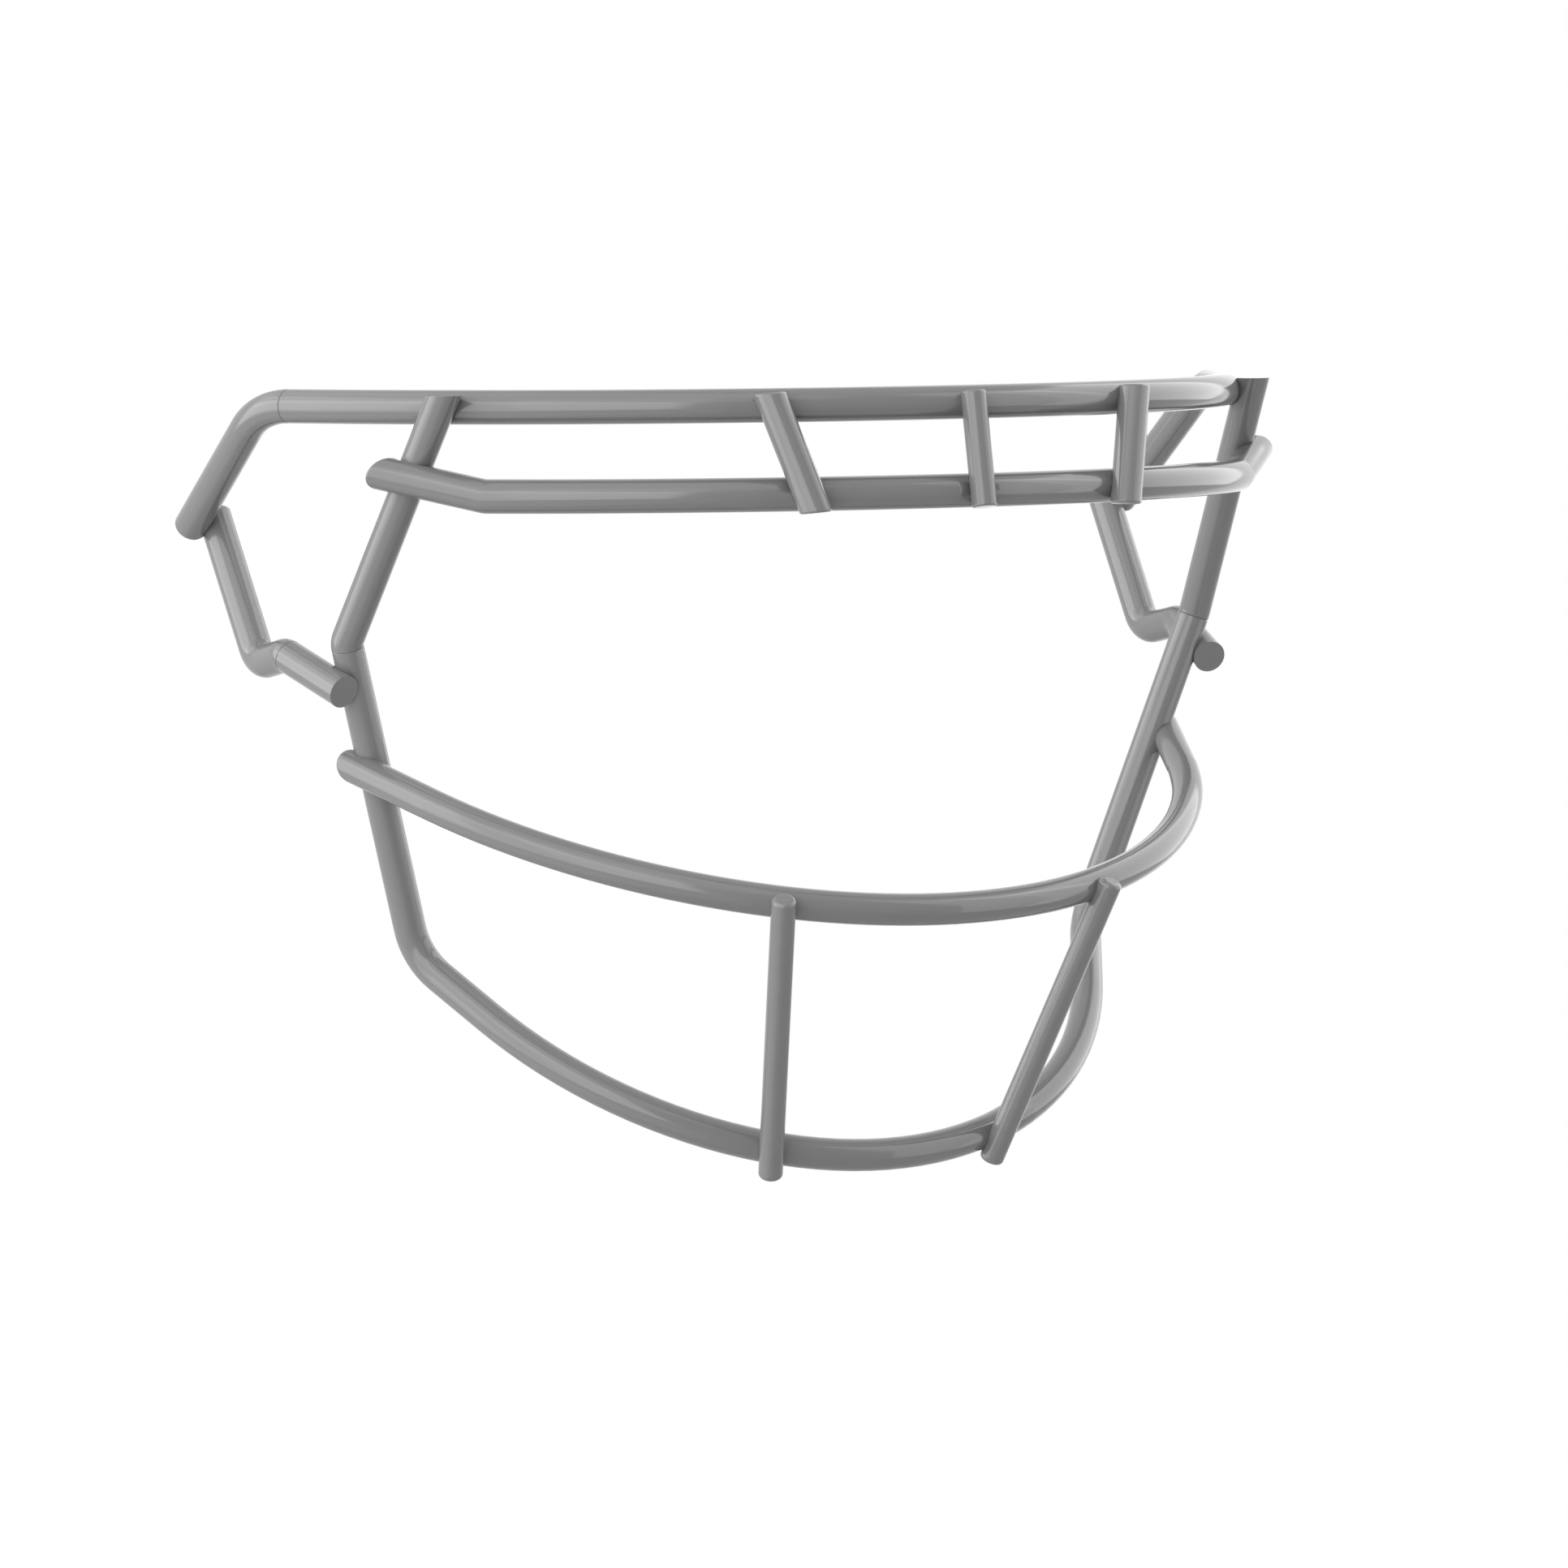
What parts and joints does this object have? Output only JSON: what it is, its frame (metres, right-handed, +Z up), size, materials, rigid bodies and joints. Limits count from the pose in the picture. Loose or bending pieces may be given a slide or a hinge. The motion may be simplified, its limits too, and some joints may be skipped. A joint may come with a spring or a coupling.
{
  "type": "football helmet facemask",
  "caption": "Rigid welded wire face guard for a football helmet: brow bars over an open eye port, a chin bar and a jaw hoop, with side arms back to the ears.",
  "frame": {"origin": "on the centre-line of the brow bar, in the middle of the face", "axes": "+X towards the wearer's left, +Y from the face back to the ears, +Z up"},
  "size_m": [0.2308, 0.1309, 0.1595],
  "materials": {
    "coated_steel": "smooth satin grey coat, baked on after welding",
    "weld_metal": "bare fused steel inside the joints, where it doesn't show"
  },
  "bodies": {
    "root": {"brow_bar": "coated_steel", "lower_brow_bar": "coated_steel", "chin_bar": "coated_steel", "jaw_hoop": "coated_steel", "brow_strut_centre": "coated_steel", "brow_leg_left": "coated_steel", "brow_leg_right": "coated_steel", "upright_left": "coated_steel", "upright_right": "coated_steel", "side_arm_left": "coated_steel", "side_arm_right": "coated_steel", "arm_foot_left": "coated_steel", "arm_foot_right": "coated_steel", "brow_strut_left": "coated_steel", "brow_strut_right": "coated_steel", "lower_strut_left": "coated_steel", "lower_strut_right": "coated_steel", "upright_welds": "weld_metal", "brow_bar_strut_welds": "weld_metal", "lower_bar_strut_welds": "weld_metal", "side_arm_welds": "weld_metal", "chin_bar_welds": "weld_metal", "lower_strut_welds": "weld_metal"}
  },
  "joints": []
}
